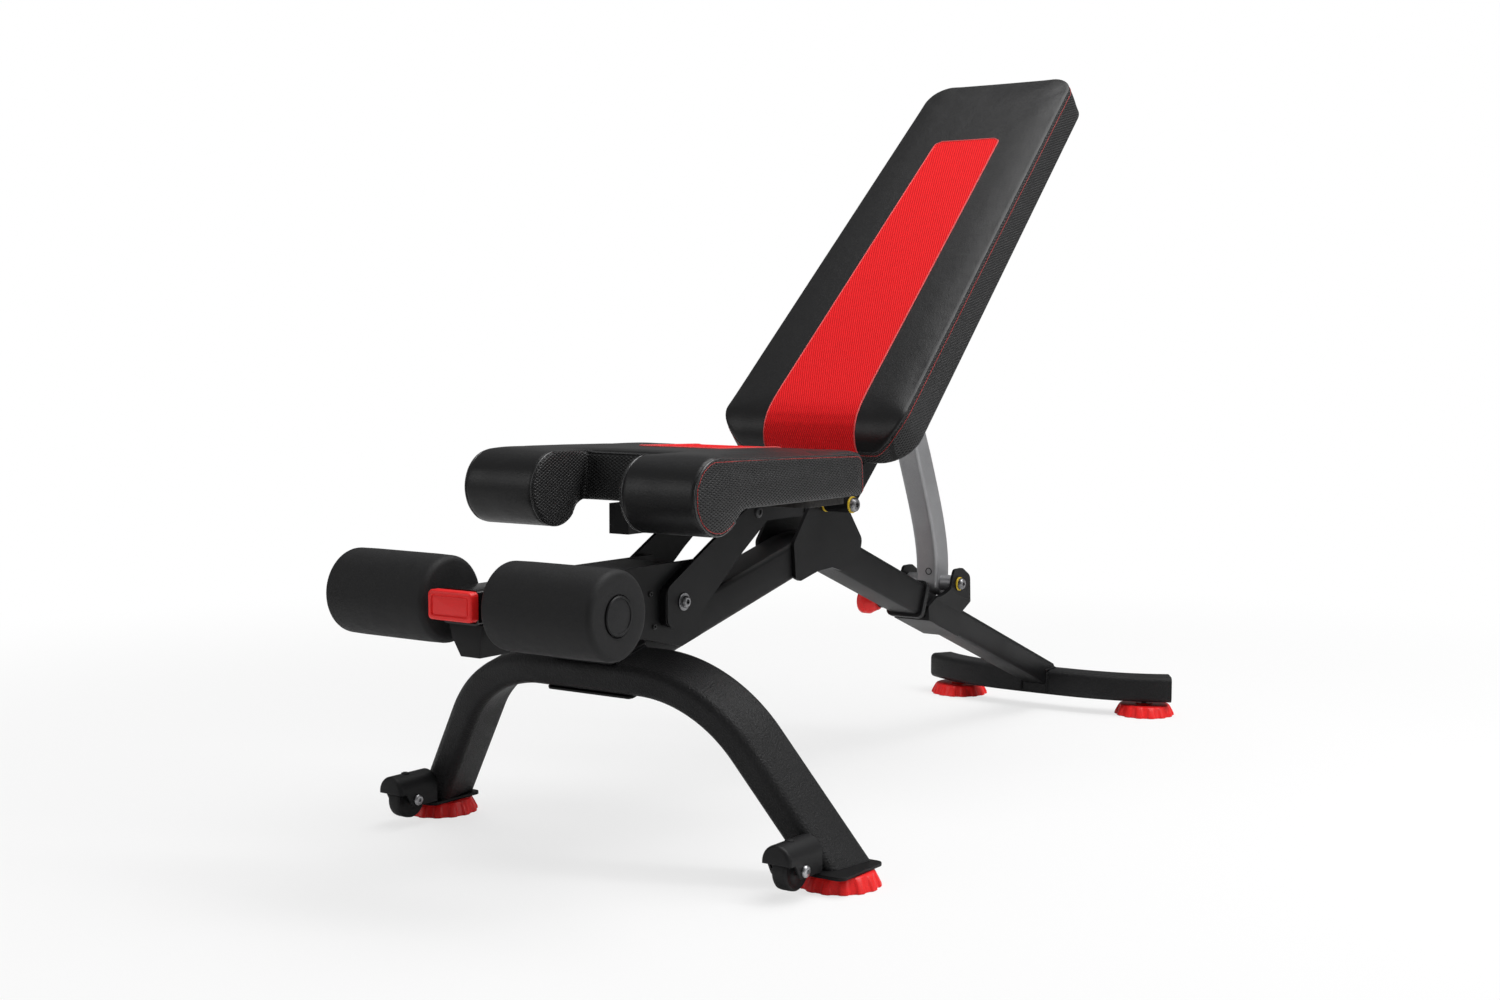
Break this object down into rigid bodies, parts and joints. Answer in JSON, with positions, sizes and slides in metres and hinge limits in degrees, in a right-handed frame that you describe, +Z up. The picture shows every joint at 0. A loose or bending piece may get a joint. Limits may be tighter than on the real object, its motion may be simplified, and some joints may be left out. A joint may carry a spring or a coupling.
{
  "type": "adjustable sit up bench",
  "caption": "Adjustable padded sit up bench: split-nose seat, tilting backrest on a swinging strut, sliding leg brace with foam rollers, arched front leg and a wide rear foot bar.",
  "frame": {"origin": "on the floor, under the middle of the bench's length and width", "axes": "+X to the side, +Y along the bench from the leg rollers to the rear foot bar, +Z up"},
  "size_m": [0.681, 1.4518, 0.9814],
  "materials": {
    "black_textured": "fine textured black powder coat",
    "black_frame": "satin black powder coat",
    "silver_paint": "satin silver paint",
    "red_plastic": "satin red plastic",
    "yellow_plastic": "yellow bearing plastic",
    "black_plastic": "moulded black plastic",
    "black_vinyl": "black vinyl over foam, with a red woven strip",
    "black_foam": "matte black closed-cell foam",
    "steel": "dark plated steel",
    "board": "black painted plywood"
  },
  "bodies": {
    "frame": {"front_leg_arch": "black_textured", "arch_under_plate": "black_frame", "leg_flange": "black_frame", "foot_plate_left": "black_frame", "foot_plate_right": "black_frame", "wheel_hood_left": "black_plastic", "wheel_hood_right": "black_plastic", "wheel_axle_left": "steel", "wheel_axle_right": "steel", "main_rail": "black_frame", "hump_plate_left": "black_frame", "hump_plate_right": "black_frame", "front_housing": "black_frame", "brace_socket": "black_plastic", "seat_arm_left": "black_frame", "seat_arm_right": "black_frame", "arm_bolt": "steel", "seat_rail": "black_frame", "seat_board": "board", "seat_pad": "black_vinyl", "hinge_axle": "steel", "rear_leg": "black_frame", "rail_collar": "black_plastic", "strut_saddle": "black_frame", "rear_foot_bar": "black_textured", "foot_bar_cap_left": "black_plastic", "foot_bar_cap_right": "black_plastic", "pull_pin_barrel": "black_plastic", "strut_bolt": "steel", "strut_bush_left": "yellow_plastic", "strut_bush_right": "yellow_plastic"},
    "backrest": {"back_rail_left": "black_frame", "back_rail_right": "black_frame", "back_cross_lower": "black_frame", "back_cross_upper": "black_frame", "back_board": "board", "back_pad": "black_vinyl", "hinge_bush_inner_left": "yellow_plastic", "hinge_bush_inner_right": "yellow_plastic", "hinge_bush_outer_left": "yellow_plastic", "hinge_bush_outer_right": "yellow_plastic"},
    "strut": {"strut": "silver_paint", "strut_pin": "steel"},
    "leg_brace": {"brace_tube": "black_frame", "roller_axle": "steel", "brace_bracket": "black_frame"},
    "roller_left": {"foam_roller_left": "black_foam", "roller_cap_left": "black_plastic"},
    "roller_right": {"foam_roller_right": "black_foam", "roller_cap_right": "black_plastic"},
    "lever": {"release_lever": "red_plastic"},
    "wheel_left": {"transport_wheel_left": "black_plastic"},
    "wheel_right": {"transport_wheel_right": "black_plastic"},
    "foot_front_left": {"foot_front_left": "red_plastic"},
    "foot_front_right": {"foot_front_right": "red_plastic"},
    "foot_rear_left": {"foot_rear_left": "red_plastic"},
    "foot_rear_right": {"foot_rear_right": "red_plastic"},
    "pull_pin": {"pull_pin": "steel", "pull_knob": "red_plastic"}
  },
  "joints": [
    {"name": "backrest_tilt", "type": "hinge", "parent": "frame", "child": "backrest", "pos_m": [0, -0.051, 0.376], "axis": [1, 0, 0], "range_deg": [-55.6, 12.4]},
    {"name": "strut_swing", "type": "hinge", "parent": "frame", "child": "strut", "pos_m": [0, 0.287, 0.238], "axis": [1, 0, 0], "range_deg": [-111.3, 24.9]},
    {"name": "brace_slide", "type": "slide", "parent": "frame", "child": "leg_brace", "axis": [0, -1, 0], "range_m": [0, 0.1]},
    {"name": "roller_left_spin", "type": "hinge", "parent": "leg_brace", "child": "roller_left", "pos_m": [-0.11, -0.679, 0.3106], "axis": [1, 0, 0], "continuous": true},
    {"name": "roller_right_spin", "type": "hinge", "parent": "leg_brace", "child": "roller_right", "pos_m": [0.11, -0.679, 0.3106], "axis": [1, 0, 0], "continuous": true},
    {"name": "lever_pull", "type": "hinge", "parent": "leg_brace", "child": "lever", "pos_m": [0, -0.703, 0.316], "axis": [-1, 0, 0], "range_deg": [0, 15], "stiffness_Nm_per_rad": 0.6, "springref_deg": -11.46},
    {"name": "wheel_left_spin", "type": "hinge", "parent": "frame", "child": "wheel_left", "pos_m": [-0.2795, -0.5088, 0.0315], "axis": [1, 0, 0], "continuous": true},
    {"name": "wheel_right_spin", "type": "hinge", "parent": "frame", "child": "wheel_right", "pos_m": [0.2795, -0.5088, 0.0315], "axis": [1, 0, 0], "continuous": true},
    {"name": "foot_front_left_turn", "type": "hinge", "parent": "frame", "child": "foot_front_left", "pos_m": [-0.294, -0.435, 0], "axis": [0, 0, 1], "continuous": true},
    {"name": "foot_front_right_turn", "type": "hinge", "parent": "frame", "child": "foot_front_right", "pos_m": [0.294, -0.435, 0], "axis": [0, 0, 1], "continuous": true},
    {"name": "foot_rear_left_turn", "type": "hinge", "parent": "frame", "child": "foot_rear_left", "pos_m": [-0.166, 0.68, 0], "axis": [0, 0, 1], "continuous": true},
    {"name": "foot_rear_right_turn", "type": "hinge", "parent": "frame", "child": "foot_rear_right", "pos_m": [0.166, 0.68, 0], "axis": [0, 0, 1], "continuous": true},
    {"name": "pin_pull", "type": "slide", "parent": "frame", "child": "pull_pin", "axis": [-1, 0, 0], "range_m": [0, 0.012], "stiffness_N_per_m": 400, "springref_m": -0.01}
  ],
  "couplings": [
    {"joint": "strut_swing", "follows": "backrest_tilt", "ratio": 2}
  ]
}
